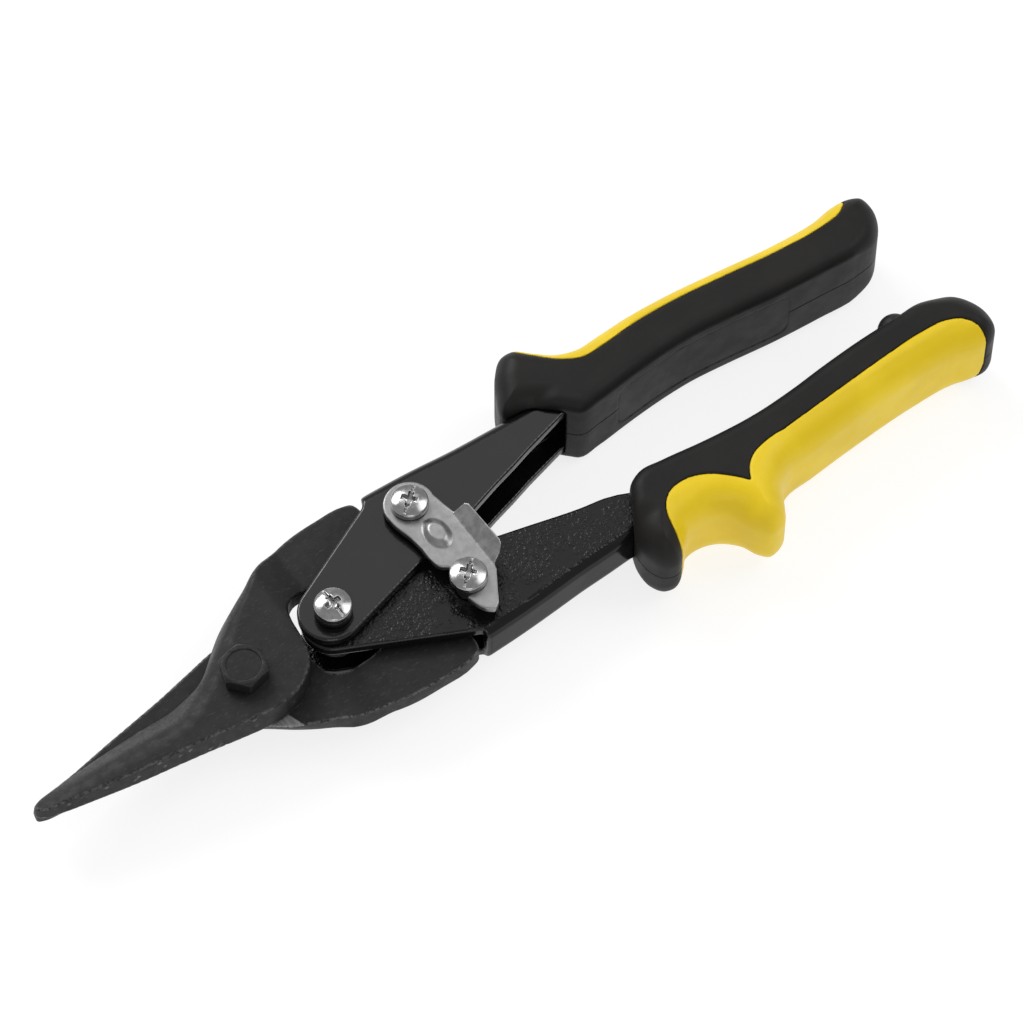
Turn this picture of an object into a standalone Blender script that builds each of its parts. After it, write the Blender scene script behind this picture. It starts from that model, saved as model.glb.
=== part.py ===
"""Aviation snips: compound-leverage sheet metal shears, built as separate pieces on real pivots.

The plan is drawn in millimetres in a tool frame. Its origin is the handle pivot, on the plane where the jaws
shear. +X runs along the tool towards the grips, +Y towards the left handle and +Z up, out of the bolt head.
place() turns a tool point into a world point, with the origin at the centre of the box's underside.
"""

import math

import bmesh
import bpy
import numpy as np
from mathutils import Matrix, Vector

MM = 0.001

# Where the tool frame's origin lies from the centre of the box's underside.
CENTRE_X = 45.5
CENTRE_Y = -2.85
REST_DEPTH = 12.5

# Pivots. The two links and the two jaws make a kite: both are symmetric about the X axis when closed.
JAW_PIVOT = (-24.6, 0.0)
HANDLE_PIVOT = (0.0, 0.0)
PIN_X = 29.35
PIN_Y = 11.75
LEFT_PIN = (PIN_X, PIN_Y)
RIGHT_PIN = (PIN_X, -PIN_Y)

# Layers, as heights above the shear plane. The left channel wraps round the right one.
GAP = 0.3
SHEET = 2.5
RIGHT_OUTER = 6.25
RIGHT_INNER = RIGHT_OUTER - SHEET
LEFT_OUTER = RIGHT_OUTER + GAP + SHEET
LEFT_INNER = LEFT_OUTER - SHEET
JAW_THICKNESS = 6.35
SHEAR_GAP = 0.15
TAIL_HALF = 2.4
JAW_TOP = SHEAR_GAP + JAW_THICKNESS
LATCH_THICKNESS = 1.75
LATCH_LOW = LEFT_OUTER + 1.2
LATCH_TOP = LATCH_LOW + LATCH_THICKNESS
PIN_HEAD_LOW = LATCH_TOP + GAP

# Jaws. Between these two stations each one thins and steps down to the middle of its channel.
JOGGLE_START = -9.0
JOGGLE_END = 0.0
BEVEL_TILT = 41.0
BEVEL_CUTTER = (62.0, 20.0, 10.0)
BEVEL_FOOT = (-68.0, 3.9, 0.7)
TAPER_TILT = -4.6
TAPER_CUTTER = (70.0, 40.0, 8.0)
TAPER_CENTRE = (-82.0, 0.0, 7.85)

# Handles. Each web starts behind the ear.
EAR_RADIUS = 7.6
EAR_OFFSET = (-0.5, 0.6)
WEB_SIDE_Y = 15.0
CLEAR_OF_ALL = 40.0
LEFT_WEB_START = 24.0
RIGHT_WEB_START = 26.2

# Latch and stop bumper.
TAB_BEND_X = 36.0
TAB_TILT = 32.0
BUMPER_X = 152.6
BUMPER_LIFT = 3.0
BUMPER_HEIGHT = 4.5
BUMPER_RADIUS = 4.0
GRIP_INNER_FACE = -12.1

# Return spring.
SPRING_RADIUS = 5.1
SPRING_HALF = 2.9
SPRING_TURNS = 5
SPRING_LEG = 8.0
WIRE_RADIUS = 0.5

# Fasteners.
SHANK_RADIUS = 2.5
HOLE_RADIUS = SHANK_RADIUS + GAP
LOOSE_HOLE_RADIUS = HOLE_RADIUS + 0.35
HEAD_RADIUS = 4.45
HEAD_HEIGHT = 2.8
NUT_FLATS = 8.0
THIN_NUT = 2.7
PIN_NUT = 4.0
THREAD_END = 0.2
SPACER_RADIUS = 5.0
WASHER_THICKNESS = 1.5
BUSH_RADIUS = 3.9
BOLT_SHANK_RADIUS = 3.0
BOLT_HOLE_RADIUS = BOLT_SHANK_RADIUS + GAP
BOLT_FLATS = 10.0
BOLT_HEAD = 4.0
BOLT_NUT = 3.6
BOLT_TURN = 12
BOLT_END = 0.2
SPRING_WASHER_RADIUS = 5.2
SPRING_WASHER_THICKNESS = 1.1
COLLAR_RADIUS = 2.9
COLLAR_PLAY = 0.2

# Grips.
GRIP_HALF = 12.5
GRIP_EDGE = 3.4
PAD_GAP = 0.15

bpy_objects = bpy.data.objects


def clear_scene():
    for obj in list(bpy_objects):
        bpy_objects.remove(obj, do_unlink=True)


def new_collection(name):
    collection = bpy.data.collections.new(name)
    bpy.context.scene.collection.children.link(collection)
    return collection


def place(point):
    """A tool point in millimetres as a world point in metres."""
    x, y, z = point
    return Vector(((x - CENTRE_X) * MM, (y - CENTRE_Y) * MM, (z + REST_DEPTH) * MM))


def material(name, colour, roughness, metallic):
    made = bpy.data.materials.new(name)
    made.use_nodes = True
    shader = made.node_tree.nodes["Principled BSDF"]
    shader.inputs["Base Color"].default_value = (*colour, 1.0)
    shader.inputs["Roughness"].default_value = roughness
    shader.inputs["Metallic"].default_value = metallic
    return made


# Outlines


def arc(centre, radius, start, end, steps):
    """Points on an arc, from start to end in degrees, both ends included."""
    angles = np.radians(np.linspace(start, end, steps + 1))
    return [(centre[0] + radius * math.cos(a), centre[1] + radius * math.sin(a)) for a in angles]


def grown(outline, distance):
    """The outline moved outwards by a distance, along the bisector at each point. Negative moves it in."""
    p = np.array(outline, float)
    ahead = np.roll(p, -1, 0) - p
    ahead /= np.linalg.norm(ahead, axis=1)[:, None]
    normals = np.stack([ahead[:, 1], -ahead[:, 0]], 1)
    area = np.sum(p[:, 0] * np.roll(p[:, 1], -1) - np.roll(p[:, 0], -1) * p[:, 1])
    if area < 0:
        normals = -normals
    both = normals + np.roll(normals, 1, 0)
    both /= np.linalg.norm(both, axis=1)[:, None]
    stretch = 1 / np.clip(np.sum(both * normals, axis=1), 0.5, 1)
    return [tuple(q) for q in p + both * (distance * stretch)[:, None]]


# Solids


def finish_object(obj, collection, look=None):
    collection.objects.link(obj)
    if look is None:
        obj.hide_render = True
        obj.display_type = "WIRE"
    else:
        obj.data.materials.clear()
        obj.data.materials.append(look)
        obj.data.shade_smooth()
        obj.data.set_sharp_from_angle(angle=math.radians(35))
    return obj


def plate(name, loops, low, high, pivot, collection, look=None):
    """A flat solid from an outer loop and hole loops, between two heights, with its origin on the pivot."""
    curve = bpy.data.curves.new(name, "CURVE")
    curve.dimensions = "2D"
    curve.fill_mode = "BOTH"
    curve.extrude = (high - low) / 2 * MM
    for loop in loops:
        spline = curve.splines.new("POLY")
        spline.points.add(len(loop) - 1)
        for point, (x, y) in zip(spline.points, loop):
            point.co = ((x - pivot[0]) * MM, (y - pivot[1]) * MM, 0, 1)
        spline.use_cyclic_u = True
    guide = bpy_objects.new(name + "_curve", curve)
    guide.location = place((*pivot, (low + high) / 2))
    bpy.context.scene.collection.objects.link(guide)
    bpy.context.view_layer.update()
    graph = bpy.context.evaluated_depsgraph_get()
    mesh = bpy.data.meshes.new_from_object(guide.evaluated_get(graph))
    mesh.name = name
    obj = bpy_objects.new(name, mesh)
    obj.matrix_world = guide.matrix_world.copy()
    bpy_objects.remove(guide, do_unlink=True)
    weld(mesh)
    return finish_object(obj, collection, look)


def weld(mesh):
    shape = bmesh.new()
    shape.from_mesh(mesh)
    bmesh.ops.remove_doubles(shape, verts=shape.verts, dist=1e-6)
    bmesh.ops.recalc_face_normals(shape, faces=shape.faces)
    shape.to_mesh(mesh)
    shape.free()


def turned(name, profile, centre, collection, look, closed=False, steps=24):
    """A turned solid from (radius, height) points down its outer side, or a closed ring profile."""
    points = [(r * MM, 0, (z - profile[0][1]) * MM) for r, z in profile]
    edges = [(i, i + 1) for i in range(len(points) - 1)]
    if closed:
        edges.append((len(points) - 1, 0))
    mesh = bpy.data.meshes.new(name)
    mesh.from_pydata(points, edges, [])
    obj = bpy_objects.new(name, mesh)
    obj.location = place((*centre, profile[0][1]))
    screw = obj.modifiers.new("turn", "SCREW")
    screw.steps = steps
    screw.render_steps = steps
    screw.use_merge_vertices = True
    screw.merge_threshold = 0.00001
    return finish_object(obj, collection, look)


def ring(name, centre, outer, inner, high, low, collection, look, steps=24):
    profile = [(outer, high), (outer, low), (inner, low), (inner, high)]
    return turned(name, profile, centre, collection, look, closed=True, steps=steps)


def tier_solid(name, tiers, pivot, collection, look=None):
    """A solid through rings of one outline: tiers is a list of (outline, height), lowest first."""
    count = len(tiers[0][0])
    points = []
    for outline, height in tiers:
        points += [((x - pivot[0]) * MM, (y - pivot[1]) * MM, height * MM) for x, y in outline]
    faces = [list(range(count))[::-1], [len(points) - count + k for k in range(count)]]
    for level in range(len(tiers) - 1):
        for k in range(count):
            a = level * count + k
            b = level * count + (k + 1) % count
            faces.append([a, b, b + count, a + count])
    mesh = bpy.data.meshes.new(name)
    mesh.from_pydata(points, [], faces)
    weld(mesh)
    obj = bpy_objects.new(name, mesh)
    obj.location = place((*pivot, 0))
    return finish_object(obj, collection, look)


def pillow(name, outline, half, edge, pivot, collection, look=None, rounds=2):
    """A thick outline with rounded rims: half is its half height and edge the radius of its rims."""
    tiers = []
    for k in range(rounds + 1):
        angle = math.pi / 2 * k / rounds
        inset = edge * (1 - math.sin(angle))
        tiers.append((grown(outline, -inset), -half + edge * (1 - math.cos(angle))))
    tiers += [(loop, -height) for loop, height in reversed(tiers)]
    return tier_solid(name, tiers, pivot, collection, look)


def boolean(obj, cutter, operation):
    modifier = obj.modifiers.new(operation.lower(), "BOOLEAN")
    modifier.operation = operation
    modifier.object = cutter


def block(name, size, centre, tilt, axis, collection):
    """A box-shaped cutter, turned by tilt degrees about an axis through its own centre."""
    mesh = bpy.data.meshes.new(name)
    shape = bmesh.new()
    bmesh.ops.create_cube(shape, size=1.0)
    bmesh.ops.scale(shape, vec=Vector(size) * MM, verts=shape.verts)
    turn = Matrix.Rotation(math.radians(tilt), 3, axis)
    bmesh.ops.rotate(shape, cent=(0, 0, 0), matrix=turn, verts=shape.verts)
    shape.to_mesh(mesh)
    shape.free()
    obj = bpy_objects.new(name, mesh)
    obj.location = place(centre)
    return finish_object(obj, collection)


def hexagon(centre, flats, turn=0.0):
    return arc(centre, flats / math.sqrt(3), turn, turn + 300, 5)


def circle(centre, radius, steps=20):
    return arc(centre, radius, 0, 360 - 360 / steps, steps - 1)


# Jaws


def jaw_outline():
    """The upper jaw in plan: tail round the left pin, throat round the handle pivot, blade to the tip."""
    tail_eye = arc(LEFT_PIN, 6.6, -100, 118, 11)
    tail_corner = [(24.0, 17.3), (22.3, 18.2), (21.8, 22.9), (20.7, 24.4), (19.3, 24.8)]
    outer = [(12.2, 24.9), (3.5, 24.1), (-4.2, 22.5), (-11.2, 20.2)]
    outer += [(-17.4, 17.5), (-22.4, 14.3), (-26.8, 11.1)]
    shoulder = [(-29.6, 8.8), (-32.2, 6.7), (-34.8, 5.2), (-38.2, 4.5)]
    edge = [(-52.0, 4.2), (-62.0, 3.8), (-69.7, 3.1), (-76.1, 2.2), (-80.6, 0.9)]
    tip = [(-82.0, -0.4), (-81.9, -1.9), (-80.4, -3.1)]
    back = [(-76.0, -3.9), (-68.9, -5.0), (-56.8, -7.1), (-47.9, -8.4), (-39.1, -9.8), (-31.0, -11.2)]
    heel = [(-25.0, -12.0), (-20.4, -11.9), (-16.0, -10.9), (-12.7, -8.6), (-10.6, -5.4)]
    throat = [(-9.7, -1.8), (-9.2, 2.0), (-8.7, 5.6), (-7.2, 8.9), (-4.2, 10.9), (0.8, 11.5), (8.0, 10.2)]
    return tail_eye + tail_corner + outer + shoulder + edge + tip + back + heel + throat + [(17.0, 7.0)]


def jaw_blank(name, collection, look):
    """The upper jaw as a plate that thins and steps down to the middle of the left channel at its tail."""
    loops = [jaw_outline(), circle(LEFT_PIN, LOOSE_HOLE_RADIUS), circle(JAW_PIVOT, BOLT_HOLE_RADIUS)]
    obj = plate(name, loops, SHEAR_GAP, JAW_TOP, (0.0, 0.0), collection, look)
    drop = SHEAR_GAP + JAW_THICKNESS / 2
    thinning = 1 - 2 * TAIL_HALF / JAW_THICKNESS
    shape = bmesh.new()
    shape.from_mesh(obj.data)
    for x in (JOGGLE_START, (JOGGLE_START + JOGGLE_END) / 2, JOGGLE_END):
        parts = shape.verts[:] + shape.edges[:] + shape.faces[:]
        bmesh.ops.bisect_plane(shape, geom=parts, plane_co=(x * MM, 0, 0), plane_no=(1, 0, 0))
    for vertex in shape.verts:
        part = (vertex.co.x / MM - JOGGLE_START) / (JOGGLE_END - JOGGLE_START)
        part = min(max(part, 0.0), 1.0)
        share = part * part * (3 - 2 * part)
        vertex.co.z = vertex.co.z * (1 - share * thinning) - share * drop * MM
    shape.to_mesh(obj.data)
    shape.free()
    return obj


def jaw(name, collection, cutters, look, underside=False):
    """One jaw. Both are the same forging: the lower one is turned half round the tool's axis."""
    obj = jaw_blank(name, collection, look)
    bevel = block(name + "_bevel_cut", BEVEL_CUTTER, BEVEL_FOOT, -BEVEL_TILT, "X", cutters)
    lift = Matrix.Rotation(math.radians(-BEVEL_TILT), 3, "X") @ Vector((0, 0, BEVEL_CUTTER[2] / 2))
    bevel.location += lift * MM
    taper = block(name + "_taper_cut", TAPER_CUTTER, TAPER_CENTRE, TAPER_TILT, "Y", cutters)
    for cutter in (bevel, taper):
        boolean(obj, cutter, "DIFFERENCE")
    if underside:
        half_turn = Matrix.Rotation(math.pi, 4, "X")
        axis = Matrix.Translation(place((0, 0, 0)))
        for turned_over in (obj, bevel, taper):
            bpy.context.view_layer.update()
            turned_over.matrix_world = axis @ half_turn @ axis.inverted() @ turned_over.matrix_world
    return obj


def jaw_fasteners(collection, look):
    head_low = JAW_TOP + GAP
    flats = hexagon(JAW_PIVOT, BOLT_FLATS, BOLT_TURN)
    head = plate("jaw_bolt", [flats], head_low, head_low + BOLT_HEAD, JAW_PIVOT, collection, look)
    washer_high = -JAW_TOP - GAP
    washer_low = washer_high - SPRING_WASHER_THICKNESS
    nut_high = washer_low - GAP
    nut_low = nut_high - BOLT_NUT
    ring("jaw_spring_washer", JAW_PIVOT, SPRING_WASHER_RADIUS, BOLT_HOLE_RADIUS, washer_high, washer_low,
         collection, look)
    loops = [flats, circle(JAW_PIVOT, BOLT_HOLE_RADIUS)]
    plate("jaw_nut", loops, nut_low, nut_high, JAW_PIVOT, collection, look)
    return head, nut_low


def add_shank(head, name, centre, radius, high, low, cutters):
    """Joins a shank to a head that is already made. The shank starts inside the head."""
    profile = [(0, high), (radius, high), (radius, low + 0.5), (radius - 0.5, low), (0, low)]
    shank = turned(name + "_shank", profile, centre, cutters, None)
    boolean(head, shank, "UNION")


# Handles


def left_handle_outline():
    """Ear round the handle pivot, then the channel, then the tang inside the grip."""
    ear = arc(EAR_OFFSET, EAR_RADIUS, 284, 115, 10)
    outer = [(21.4, 19.1), (23.4, 20.4), (24.6, 21.6), (34.3, 21.2), (47.4, 20.1), (57.0, 19.5), (66.0, 19.2)]
    tang_out = [(75.0, 19.4), (90.0, 20.6), (105.0, 20.7), (125.0, 19.4), (150.0, 17.2)]
    tang_in = [(150.0, 11.4), (133.0, 12.4), (118.0, 13.4), (103.0, 14.0), (90.0, 13.8), (75.1, 12.2)]
    inner = [(61.6, 8.9), (50.0, 5.7), (40.9, 3.3), (24.0, -0.7)]
    return ear + outer + tang_out + tang_in + inner


def right_handle_outline():
    """The same three stretches on the other side: its channel fits inside the left one."""
    ear = arc((EAR_OFFSET[0], -EAR_OFFSET[1]), EAR_RADIUS, 76, 243, 10)
    outer = [(26.0, -22.2), (26.6, -24.2), (37.1, -23.9), (45.4, -23.4), (53.9, -22.8), (62.0, -22.5)]
    tang_out = [(68.0, -22.2), (80.0, -22.4), (100.0, -23.2), (125.0, -23.0), (150.0, -22.4)]
    tang_in = [(150.0, -17.2), (125.0, -17.4), (100.0, -17.0), (86.0, -15.6), (78.0, -14.0), (72.0, -11.8)]
    inner = [(63.0, -9.4), (56.4, -7.7), (49.6, -6.0), (42.9, -4.2), (24.0, 0.7)]
    return ear + outer + tang_out + tang_in + inner


def channel(name, outline, web_start, web_side, outer, pin, collection, cutters, look):
    """A folded channel: its outline at full height, less the space between its flanges and inside its web."""
    loops = [outline, circle(HANDLE_PIVOT, HOLE_RADIUS), circle(pin, HOLE_RADIUS)]
    obj = plate(name, loops, -outer, outer, HANDLE_PIVOT, collection, look)
    web = [(x, y - SHEET * web_side) for x, y in outline if x > web_start and y * web_side > WEB_SIDE_Y]
    web.sort()
    y_far = CLEAR_OF_ALL * web_side
    hollow = [(-20, y_far), (web_start, y_far), (web_start, web[0][1])] + web[1:-1]
    hollow += [(160, web[-1][1]), (160, -y_far), (-20, -y_far)]
    cutter = plate(name + "_hollow_cut", [hollow], -outer + SHEET, outer - SHEET, HANDLE_PIVOT, cutters)
    boolean(obj, cutter, "DIFFERENCE")
    return obj


# Grips


def left_grip_outline():
    inner = [(75.3, 10.2), (80.0, 9.6), (90.5, 10.2), (102.9, 10.9), (118.3, 10.3), (133.0, 8.9)]
    inner += [(148.0, 7.6)]
    end = [(157.5, 7.0), (161.8, 8.3), (165.4, 12.0), (168.3, 17.0), (168.3, 20.8), (165.2, 22.8)]
    outer = [(159.5, 22.3), (152.2, 21.1), (140.6, 21.3), (126.2, 23.1), (111.9, 24.9), (100.4, 25.3)]
    flare = [(91.5, 25.1), (86.0, 25.1), (81.6, 27.2), (77.6, 31.0), (73.8, 34.2), (70.2, 34.2), (67.2, 31.4)]
    front = [(63.8, 26.0), (61.8, 20.6), (66.4, 19.0), (71.5, 15.2), (75.0, 12.2)]
    return inner + end + outer + flare + front


def right_grip_outline():
    inner = [(75.0, -12.6), (78.4, -10.7), (84.0, -10.9), (95.8, -12.4), (109.9, -13.8), (120.0, -14.0)]
    inner += [(130.0, -13.1), (141.6, -12.1), (152.0, -12.1), (161.0, -12.1), (167.5, -13.6)]
    end = [(171.6, -16.9), (173.0, -21.5), (171.6, -26.5), (168.8, -28.8), (164.6, -28.6), (159.1, -26.9)]
    outer = [(148.5, -26.2), (132.1, -26.8), (116.5, -28.0), (108.4, -28.8), (104.9, -31.0), (102.6, -35.2)]
    lobe = [(99.4, -39.2), (95.6, -39.9), (93.0, -37.2), (91.2, -33.2), (88.2, -29.7), (83.6, -28.0)]
    guard = [(79.0, -28.6), (76.4, -31.4), (73.2, -34.0), (69.4, -33.2), (67.6, -29.0), (68.0, -23.6)]
    return inner + end + outer + lobe + guard + [(71.5, -17.6)]


def left_strip_area():
    """Plan area of the yellow strip: the outer edge of the grip behind its flare."""
    inside = [(73.6, 31.4), (76.4, 27.6), (80.2, 23.8), (84.6, 21.7), (90.5, 21.7), (100.0, 22.2)]
    inside += [(111.9, 21.7), (126.0, 20.4), (140.0, 18.6), (152.0, 17.9), (158.6, 18.9), (161.0, 20.6)]
    outside = [(161.0, 30.0), (120.0, 34.0), (78.0, 38.0), (73.0, 36.0)]
    return inside + outside


def right_pad_area():
    """Plan area of the yellow pad: finger recess, lobe and the long outer face, inside a black end."""
    front = [(74.6, -40.0), (75.4, -29.0), (76.8, -22.6), (79.4, -20.0), (84.6, -18.9), (90.8, -20.9)]
    notch = [(94.8, -24.6), (97.2, -27.0), (99.8, -24.2), (104.6, -22.0), (112.0, -21.4)]
    back = [(128.0, -20.3), (143.0, -19.9), (155.5, -19.4), (161.6, -20.8), (164.6, -24.0), (165.4, -28.0)]
    return front + notch + back + [(165.0, -36.0), (120.0, -48.0)]


def grip(side, outline, pad_area, tang, tang_outer, pad_name, collection, cutters, looks):
    """A grip body and the pad moulded to its outer side. Both leave room for the tang of the handle."""
    body_look, pad_look = looks
    pivot = HANDLE_PIVOT
    name = side + "_grip_body"
    tall = GRIP_HALF + 4
    body = pillow(name, outline, GRIP_HALF, GRIP_EDGE, pivot, collection, body_look)
    pad = pillow(pad_name, outline, GRIP_HALF, GRIP_EDGE, pivot, collection, pad_look)
    around = plate(name + "_pad_cut", [grown(pad_area, PAD_GAP)], -tall, tall, pivot, cutters)
    within = plate(pad_name + "_area_cut", [grown(pad_area, -PAD_GAP)], -tall, tall, pivot, cutters)
    boolean(body, around, "DIFFERENCE")
    boolean(pad, within, "INTERSECT")
    pocket_half = tang_outer + GAP
    pocket = plate(name + "_pocket_cut", [grown(tang, GAP + 0.05)], -pocket_half, pocket_half, pivot, cutters)
    boolean(body, pocket, "DIFFERENCE")
    boolean(pad, pocket, "DIFFERENCE")


# Fasteners of the handles


def pan_head(name, centre, low, collection, look):
    """A slightly domed cheese head, without its driver recess."""
    top = low + HEAD_HEIGHT
    profile = [(0, top), (2.2, top - 0.1), (3.7, top - 0.5), (HEAD_RADIUS, top - 1.3)]
    profile += [(HEAD_RADIUS, low), (0, low)]
    return turned(name, profile, centre, collection, look)


def nut(name, centre, high, thickness, collection, look, turn=0.0):
    loops = [hexagon(centre, NUT_FLATS, turn), circle(centre, HOLE_RADIUS)]
    plate(name, loops, high - thickness, high, centre, collection, look)


def spacers(side, centre, inner, collection, look):
    """Two equal rings that hold the jaw's tail in the middle of its channel."""
    high = inner - GAP
    low = TAIL_HALF + GAP
    ring(side + "_pin_spacer_upper", centre, SPACER_RADIUS, HOLE_RADIUS, high, low, collection, look)
    ring(side + "_pin_spacer_lower", centre, SPACER_RADIUS, HOLE_RADIUS, -low, -high, collection, look)


def handle_pivot(collection, cutters, looks):
    plated, dark = looks
    washer_low = LEFT_OUTER + GAP
    washer_high = washer_low + WASHER_THICKNESS
    ring("handle_pivot_washer", HANDLE_PIVOT, SPACER_RADIUS, HOLE_RADIUS, washer_high, washer_low, collection,
         dark)
    head_low = washer_high + GAP
    head = pan_head("handle_pivot_screw", HANDLE_PIVOT, head_low, collection, plated)
    nut_high = -LEFT_OUTER - GAP
    end = nut_high - THIN_NUT - THREAD_END
    add_shank(head, "handle_pivot_screw", HANDLE_PIVOT, SHANK_RADIUS, head_low + 1.0, end, cutters)
    nut("handle_pivot_nut", HANDLE_PIVOT, nut_high, THIN_NUT, collection, dark, 20)
    half = RIGHT_INNER - GAP
    ring("handle_pivot_bush", HANDLE_PIVOT, BUSH_RADIUS, HOLE_RADIUS, half, -half, collection, dark)


def left_pin(collection, cutters, looks):
    plated, dark = looks
    head = pan_head("left_pin_screw", LEFT_PIN, PIN_HEAD_LOW, collection, plated)
    nut_high = -LEFT_OUTER - GAP
    end = nut_high - THIN_NUT - THREAD_END
    add_shank(head, "left_pin_screw", LEFT_PIN, SHANK_RADIUS, PIN_HEAD_LOW + 1.0, end, cutters)
    nut("left_pin_nut", LEFT_PIN, nut_high, THIN_NUT, collection, dark, 5)
    spacers("left", LEFT_PIN, LEFT_INNER, collection, dark)


def right_pin(collection, cutters, looks):
    plated, dark = looks
    head = pan_head("right_pin_screw", RIGHT_PIN, PIN_HEAD_LOW, collection, plated)
    nut_high = -RIGHT_OUTER - GAP
    end = nut_high - PIN_NUT - THREAD_END
    add_shank(head, "right_pin_screw", RIGHT_PIN, SHANK_RADIUS, PIN_HEAD_LOW + 1.0, end, cutters)
    nut("right_pin_nut", RIGHT_PIN, nut_high, PIN_NUT, collection, dark, 40)
    spacers("right", RIGHT_PIN, RIGHT_INNER, collection, dark)
    low = RIGHT_OUTER + GAP
    bore = SHANK_RADIUS + COLLAR_PLAY
    ring("right_pin_collar", RIGHT_PIN, COLLAR_RADIUS, bore, PIN_HEAD_LOW - GAP, low, collection, plated)


def return_spring(collection, look):
    """A torsion spring round the bush, with a short leg towards each handle."""
    per_turn = 14
    steps = SPRING_TURNS * per_turn
    leg_x = SPRING_RADIUS + 0.3
    points = [(leg_x, -SPRING_LEG, SPRING_HALF)]
    for k in range(steps + 1):
        angle = 2 * math.pi * k / per_turn
        height = SPRING_HALF * (1 - 2 * k / steps)
        points.append((SPRING_RADIUS * math.cos(angle), SPRING_RADIUS * math.sin(angle), height))
    points.append((leg_x, SPRING_LEG, -SPRING_HALF))
    curve = bpy.data.curves.new("return_spring", "CURVE")
    curve.dimensions = "3D"
    curve.bevel_depth = WIRE_RADIUS * MM
    curve.bevel_resolution = 1
    curve.use_fill_caps = True
    spline = curve.splines.new("POLY")
    spline.points.add(len(points) - 1)
    for point, (x, y, z) in zip(spline.points, points):
        point.co = (x * MM, y * MM, z * MM, 1)
    obj = bpy_objects.new("return_spring", curve)
    obj.location = place((0, 0, 0))
    collection.objects.link(obj)
    curve.materials.append(look)


# Latch


def latch_outline():
    """A round eye on the left pin, a body, a thumb tab and a hook round the right pin's collar."""
    eye = arc(LEFT_PIN, 6.1, 0, 180, 10)
    left = [(24.3, 6.0), (25.0, 1.0), (25.1, -4.9), (27.4, -6.9)]
    notch = arc(RIGHT_PIN, COLLAR_RADIUS + 0.45, 95, -80, 8)
    hook = [(26.3, -16.2), (29.2, -20.9), (30.1, -21.4), (31.0, -20.9), (36.3, -12.6)]
    tab = [(36.2, -10.7), (38.2, -9.7), (40.2, -8.3), (39.8, 4.5), (36.2, 4.1), (35.6, 4.6)]
    return eye + left + notch + hook + tab


def latch(collection, look):
    loops = [latch_outline(), circle(LEFT_PIN, HOLE_RADIUS)]
    obj = plate("latch_plate", loops, LATCH_LOW, LATCH_TOP, LEFT_PIN, collection, look)
    bend = (TAB_BEND_X - PIN_X) * MM
    slope = math.tan(math.radians(TAB_TILT))
    shape = bmesh.new()
    shape.from_mesh(obj.data)
    parts = shape.verts[:] + shape.edges[:] + shape.faces[:]
    bmesh.ops.bisect_plane(shape, geom=parts, plane_co=(bend, 0, 0), plane_no=(1, 0, 0))
    for vertex in shape.verts:
        vertex.co.z += max(vertex.co.x - bend, 0.0) * slope
    shape.to_mesh(obj.data)
    shape.free()


def stop_bumper(collection, look):
    """A domed button on the inner side of the right grip, where the two grips would meet."""
    top = BUMPER_HEIGHT
    profile = [(0, top), (1.5, top - 0.3), (2.8, top - 1.2), (BUMPER_RADIUS, top - 2.6)]
    profile += [(BUMPER_RADIUS, 0.0), (0, 0.0)]
    obj = turned("stop_bumper", profile, (0, 0), collection, look)
    obj.rotation_euler = (-math.pi / 2, 0, 0)
    obj.location = place((BUMPER_X, GRIP_INNER_FACE + GAP + top, BUMPER_LIFT))


def build():
    clear_scene()
    parts = new_collection("aviation_snips")
    cutters = new_collection("cutters")
    cutters.hide_render = True

    black_steel = material("black_forged_steel", (0.028, 0.028, 0.03), 0.5, 0.4)
    gloss_black = material("gloss_black_paint", (0.012, 0.012, 0.014), 0.2, 0.0)
    plated = material("zinc_plate", (0.75, 0.75, 0.74), 0.3, 1.0)
    dark_metal = material("dark_fastener", (0.05, 0.05, 0.055), 0.4, 0.6)
    spring_steel = material("spring_steel", (0.2, 0.2, 0.21), 0.35, 1.0)
    black_plastic = material("black_grip", (0.02, 0.019, 0.019), 0.55, 0.0)
    yellow_plastic = material("yellow_grip", (0.85, 0.62, 0.03), 0.5, 0.0)
    rubber = material("bumper_rubber", (0.02, 0.02, 0.02), 0.7, 0.0)

    jaw("upper_jaw", parts, cutters, black_steel)
    jaw("lower_jaw", parts, cutters, black_steel, underside=True)
    bolt, nut_low = jaw_fasteners(parts, black_steel)
    add_shank(bolt, "jaw_bolt", JAW_PIVOT, BOLT_SHANK_RADIUS, JAW_TOP + 2.0, nut_low - BOLT_END, cutters)

    left = left_handle_outline()
    right = right_handle_outline()
    channel("left_handle", left, LEFT_WEB_START, 1, LEFT_OUTER, LEFT_PIN, parts, cutters, gloss_black)
    channel("right_handle", right, RIGHT_WEB_START, -1, RIGHT_OUTER, RIGHT_PIN, parts, cutters, gloss_black)
    grip("left", left_grip_outline(), left_strip_area(), left, LEFT_OUTER, "left_grip_strip", parts,
         cutters, (black_plastic, yellow_plastic))
    grip("right", right_grip_outline(), right_pad_area(), right, RIGHT_OUTER, "right_grip_pad", parts,
         cutters, (black_plastic, yellow_plastic))
    stop_bumper(parts, rubber)

    handle_pivot(parts, cutters, (plated, dark_metal))
    left_pin(parts, cutters, (plated, dark_metal))
    right_pin(parts, cutters, (plated, dark_metal))
    return_spring(parts, spring_steel)
    latch(parts, plated)


build()
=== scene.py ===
import math
from functools import partial

import bpy
import numpy as np
from mathutils import Matrix, Vector


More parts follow.
